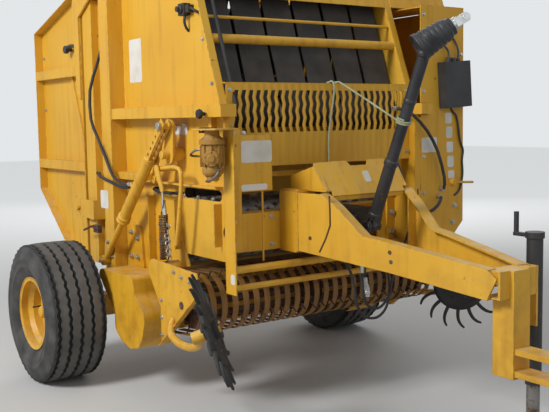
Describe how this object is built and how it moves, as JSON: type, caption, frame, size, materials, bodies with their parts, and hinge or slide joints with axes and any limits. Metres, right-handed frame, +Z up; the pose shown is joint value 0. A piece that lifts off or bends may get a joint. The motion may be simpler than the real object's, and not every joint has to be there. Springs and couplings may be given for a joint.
{
  "type": "round baler",
  "caption": "Trailed farm round baler: belt chamber with hinged tailgate, tine pickup that lifts, finger wheels, road wheels, A-shaped tongue with hitch and swing jack.",
  "frame": {"origin": "on the ground, at the middle of the outline", "axes": "+Z up, -Y towards the hitch (the way it is towed), +X the machine's left"},
  "size_m": [2.376, 3.926, 2.44],
  "materials": {
    "yellow_paint": "weathered gloss",
    "black_paint": "dull black",
    "bare_steel": "worn bare steel",
    "belt_rubber": "worn dark grey",
    "tyre_rubber": "dusty",
    "black_plastic": "matt",
    "finger_rubber": "matt black",
    "hose_rubber": "matt black",
    "rope_fibre": "pale twisted fibre"
  },
  "bodies": {
    "frame": {"right_wall": "yellow_paint", "left_wall": "yellow_paint", "cross_frame": "yellow_paint", "axle": "yellow_paint", "tongue": "yellow_paint", "tongue_head": "yellow_paint", "gearbox": "black_paint", "driveline": "black_paint", "driveline_shields": "black_plastic", "rack": "yellow_paint", "front_hood": "yellow_paint", "rolls": "bare_steel", "front_belts": "belt_rubber", "drive_sprockets": "bare_steel", "drive_case": "yellow_paint", "control_box": "black_plastic", "twine_box": "yellow_paint", "twine_motor": "yellow_paint", "tension_barrels": "yellow_paint", "tension_rods": "yellow_paint", "tension_levers": "yellow_paint", "fenders": "yellow_paint", "lift_linkage": "yellow_paint", "gate_catches": "yellow_paint", "wind_guard": "yellow_paint", "hoses": "hose_rubber", "tie_rope": "rope_fibre", "lift_chain": "bare_steel"},
    "drive_door": {"drive_door": "yellow_paint"},
    "tailgate": {"gate_right_wall": "yellow_paint", "gate_left_wall": "yellow_paint", "gate_beams": "yellow_paint", "gate_rolls": "bare_steel", "rear_belts": "belt_rubber"},
    "right_lift_barrel": {"right_gate_barrel": "yellow_paint"},
    "right_lift_rod": {"right_gate_rod": "bare_steel"},
    "left_lift_barrel": {"left_gate_barrel": "yellow_paint"},
    "left_lift_rod": {"left_gate_rod": "bare_steel"},
    "right_wheel": {"right_tyre": "tyre_rubber", "right_rim": "yellow_paint"},
    "left_wheel": {"left_tyre": "tyre_rubber", "left_rim": "yellow_paint"},
    "pickup": {"pickup_frame": "yellow_paint", "pickup_bands": "yellow_paint"},
    "reel": {"pickup_reel": "black_paint"},
    "right_finger_wheel": {"right_finger_wheel": "finger_rubber"},
    "left_finger_wheel": {"left_finger_wheel": "finger_rubber"},
    "jack": {"jack_mast": "black_paint", "jack_foot": "bare_steel"}
  },
  "joints": [
    {"name": "right_wheel_spin", "type": "hinge", "parent": "frame", "child": "right_wheel", "pos_m": [-1.02, 0.803, 0.3935], "axis": [1, 0, 0], "continuous": true},
    {"name": "left_wheel_spin", "type": "hinge", "parent": "frame", "child": "left_wheel", "pos_m": [1.02, 0.803, 0.3935], "axis": [1, 0, 0], "continuous": true},
    {"name": "tailgate_hinge", "type": "hinge", "parent": "frame", "child": "tailgate", "pos_m": [0, 0.983, 2.27], "axis": [1, 0, 0], "range_deg": [0, 45]},
    {"name": "drive_door_hinge", "type": "hinge", "parent": "frame", "child": "drive_door", "pos_m": [0.956, 1.109, 1.46], "axis": [0, 0, 1], "range_deg": [0, 100]},
    {"name": "pickup_lift", "type": "hinge", "parent": "frame", "child": "pickup", "pos_m": [0, 0.023, 0.7], "axis": [1, 0, 0], "range_deg": [0, 20]},
    {"name": "reel_spin", "type": "hinge", "parent": "pickup", "child": "reel", "pos_m": [0, -0.262, 0.562], "axis": [1, 0, 0], "continuous": true},
    {"name": "right_finger_spin", "type": "hinge", "parent": "pickup", "child": "right_finger_wheel", "pos_m": [-0.955, -0.837, 0.57], "axis": [0.7673, -0.5381, 0.3488], "continuous": true},
    {"name": "left_finger_spin", "type": "hinge", "parent": "pickup", "child": "left_finger_wheel", "pos_m": [0.96, -0.452, 0.487], "axis": [-0.7673, -0.5381, 0.3488], "continuous": true},
    {"name": "jack_swing", "type": "hinge", "parent": "frame", "child": "jack", "pos_m": [0.214, -1.577, 0.64], "axis": [1, 0, 0], "range_deg": [0, 90]},
    {"name": "right_lift_barrel_hinge", "type": "hinge", "parent": "frame", "child": "right_lift_barrel", "pos_m": [-0.743, 0.103, 2.385], "axis": [1, 0, 0], "range_deg": [0, 7]},
    {"name": "right_lift_rod_slide", "type": "slide", "parent": "right_lift_barrel", "child": "right_lift_rod", "axis": [0, 0.9999, 0.0158], "range_m": [-0.14, 0]},
    {"name": "left_lift_barrel_hinge", "type": "hinge", "parent": "frame", "child": "left_lift_barrel", "pos_m": [0.743, 0.103, 2.385], "axis": [1, 0, 0], "range_deg": [0, 7]},
    {"name": "left_lift_rod_slide", "type": "slide", "parent": "left_lift_barrel", "child": "left_lift_rod", "axis": [0, 0.9999, 0.0158], "range_m": [-0.14, 0]}
  ],
  "couplings": [
    {"joint": "right_lift_barrel_hinge", "follows": "tailgate_hinge", "ratio": 0.1424},
    {"joint": "right_lift_rod_slide", "follows": "tailgate_hinge", "m_per_rad": -0.1725},
    {"joint": "left_lift_barrel_hinge", "follows": "tailgate_hinge", "ratio": 0.1424},
    {"joint": "left_lift_rod_slide", "follows": "tailgate_hinge", "m_per_rad": -0.1725}
  ]
}
